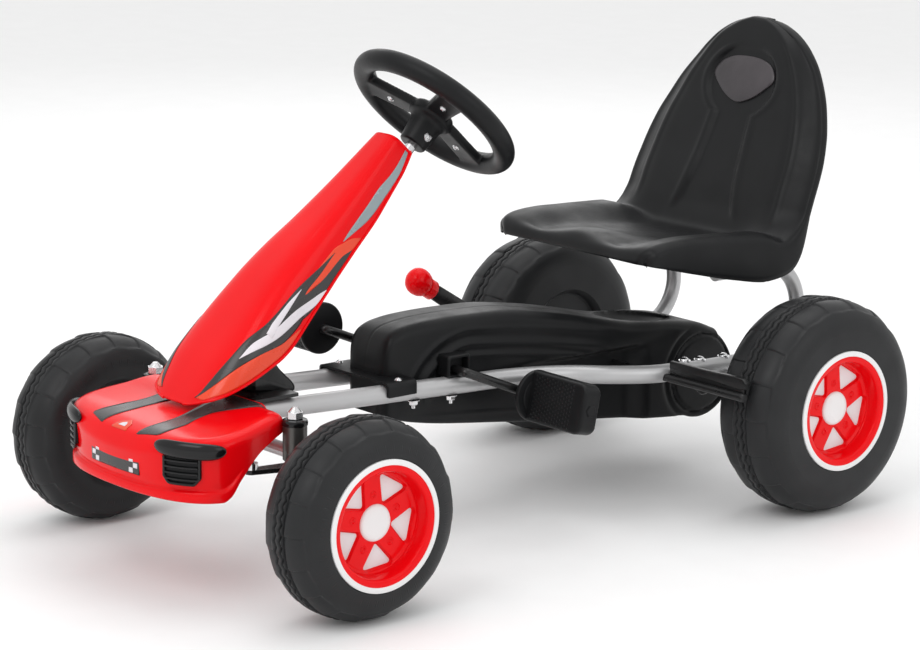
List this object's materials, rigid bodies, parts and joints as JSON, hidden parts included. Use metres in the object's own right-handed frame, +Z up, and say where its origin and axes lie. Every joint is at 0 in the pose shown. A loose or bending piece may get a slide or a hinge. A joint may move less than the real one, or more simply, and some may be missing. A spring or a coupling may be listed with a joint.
{
  "type": "pedal go kart",
  "caption": "Child's pedal go kart: tube frame with nose fairing and tall column cover, moulded seat with high back, plastic wheels, cranked pedals, chain case and hand brake.",
  "frame": {"origin": "centre of the bounding box on the floor between the wheels", "axes": "+X the kart's left, +Y backwards (the nose points to -Y), +Z up"},
  "size_m": [0.597, 0.995, 0.5668],
  "materials": {
    "frame_silver": "silver powder coat, satin",
    "zinc_steel": "bright zinc",
    "black_steel": "black satin paint",
    "black_plastic": "satin, lightly textured",
    "tyre_plastic": "moulded, dull",
    "red_plastic": "high gloss",
    "white_plastic": "gloss",
    "chain_steel": "oiled steel"
  },
  "bodies": {
    "frame": {"main_tube_left": "frame_silver", "main_tube_right": "frame_silver", "rear_tube_left": "frame_silver", "rear_tube_right": "frame_silver", "front_beam": "frame_silver", "kingpin_sleeve_left": "black_steel", "kingpin_sleeve_right": "black_steel", "column_plate": "black_steel", "column_tube": "frame_silver", "column_bush": "black_plastic", "column_cover": "red_plastic", "foot_shroud": "black_plastic", "nose_fairing": "red_plastic", "lamp_brow_left": "black_plastic", "lamp_brow_right": "black_plastic", "chain_case_left": "black_plastic", "chain_case_right": "black_plastic", "crank_bearing_left": "black_plastic", "crank_bearing_right": "black_plastic", "rear_bearing_left": "black_plastic", "rear_bearing_right": "black_plastic", "drive_chain": "chain_steel", "seat": "black_plastic"},
    "steering": {"steering_wheel": "black_plastic", "steering_shaft": "zinc_steel", "pitman_plate": "black_steel"},
    "rear_axle": {"rear_axle": "zinc_steel", "rear_sprocket": "chain_steel", "rear_tyre_left": "tyre_plastic", "rear_tyre_right": "tyre_plastic", "rear_rim_left": "red_plastic", "rear_rim_right": "red_plastic", "rear_hub_cap_left": "white_plastic", "rear_hub_cap_right": "white_plastic"},
    "crank": {"crank_axle": "black_steel", "crank_sprocket": "chain_steel"},
    "brake": {"brake_shaft": "black_steel", "brake_paddle_left": "black_steel", "brake_paddle_right": "black_steel", "brake_lever": "black_steel", "brake_knob": "red_plastic"},
    "knuckle_left": {"stub_axle_left": "zinc_steel", "steering_arm_left": "black_steel", "kingpin_nut_left": "zinc_steel"},
    "tie_rod_left": {"tie_rod_left": "zinc_steel"},
    "front_wheel_left": {"front_tyre_left": "tyre_plastic", "front_rim_left": "red_plastic", "front_hub_cap_left": "white_plastic"},
    "pedal_left": {"pedal_left": "black_plastic"},
    "knuckle_right": {"stub_axle_right": "zinc_steel", "steering_arm_right": "black_steel", "kingpin_nut_right": "zinc_steel"},
    "tie_rod_right": {"tie_rod_right": "zinc_steel"},
    "front_wheel_right": {"front_tyre_right": "tyre_plastic", "front_rim_right": "red_plastic", "front_hub_cap_right": "white_plastic"},
    "pedal_right": {"pedal_right": "black_plastic"}
  },
  "joints": [
    {"name": "steer", "type": "hinge", "parent": "frame", "child": "steering", "pos_m": [0, -0.047, 0.488], "axis": [0, 0.6884, 0.7254], "range_deg": [-30, 30]},
    {"name": "kingpin_left", "type": "hinge", "parent": "frame", "child": "knuckle_left", "pos_m": [0.133, -0.3485, 0.173], "axis": [0, 0, 1], "range_deg": [-21, 21]},
    {"name": "tie_rod_pin_left", "type": "hinge", "parent": "knuckle_left", "child": "tie_rod_left", "pos_m": [0.121, -0.3985, 0.149], "axis": [0, 0, 1], "range_deg": [-21, 21]},
    {"name": "front_wheel_spin_left", "type": "hinge", "parent": "knuckle_left", "child": "front_wheel_left", "pos_m": [0.248, -0.3485, 0.111], "axis": [1, 0, 0], "continuous": true},
    {"name": "kingpin_right", "type": "hinge", "parent": "frame", "child": "knuckle_right", "pos_m": [-0.133, -0.3485, 0.173], "axis": [0, 0, 1], "range_deg": [-21, 21]},
    {"name": "tie_rod_pin_right", "type": "hinge", "parent": "knuckle_right", "child": "tie_rod_right", "pos_m": [-0.121, -0.3985, 0.149], "axis": [0, 0, 1], "range_deg": [-21, 21]},
    {"name": "front_wheel_spin_right", "type": "hinge", "parent": "knuckle_right", "child": "front_wheel_right", "pos_m": [-0.248, -0.3485, 0.111], "axis": [1, 0, 0], "continuous": true},
    {"name": "rear_axle_spin", "type": "hinge", "parent": "frame", "child": "rear_axle", "pos_m": [0, 0.3485, 0.13], "axis": [1, 0, 0], "continuous": true},
    {"name": "crank_spin", "type": "hinge", "parent": "frame", "child": "crank", "pos_m": [0, -0.052, 0.192], "axis": [1, 0, 0], "continuous": true},
    {"name": "pedal_spin_left", "type": "hinge", "parent": "crank", "child": "pedal_left", "pos_m": [0.14, 0.03497, 0.15633], "axis": [1, 0, 0], "continuous": true},
    {"name": "pedal_spin_right", "type": "hinge", "parent": "crank", "child": "pedal_right", "pos_m": [-0.14, -0.13897, 0.22767], "axis": [1, 0, 0], "continuous": true},
    {"name": "brake_lever_pull", "type": "hinge", "parent": "frame", "child": "brake", "pos_m": [0, 0.21, 0.16], "axis": [-1, 0, 0], "range_deg": [0, 12.5]}
  ],
  "couplings": [
    {"joint": "kingpin_left", "follows": "steer", "ratio": 0.7},
    {"joint": "tie_rod_pin_left", "follows": "steer", "ratio": -0.7},
    {"joint": "kingpin_right", "follows": "steer", "ratio": 0.7},
    {"joint": "tie_rod_pin_right", "follows": "steer", "ratio": -0.7},
    {"joint": "crank_spin", "follows": "rear_axle_spin", "ratio": 0.75}
  ]
}
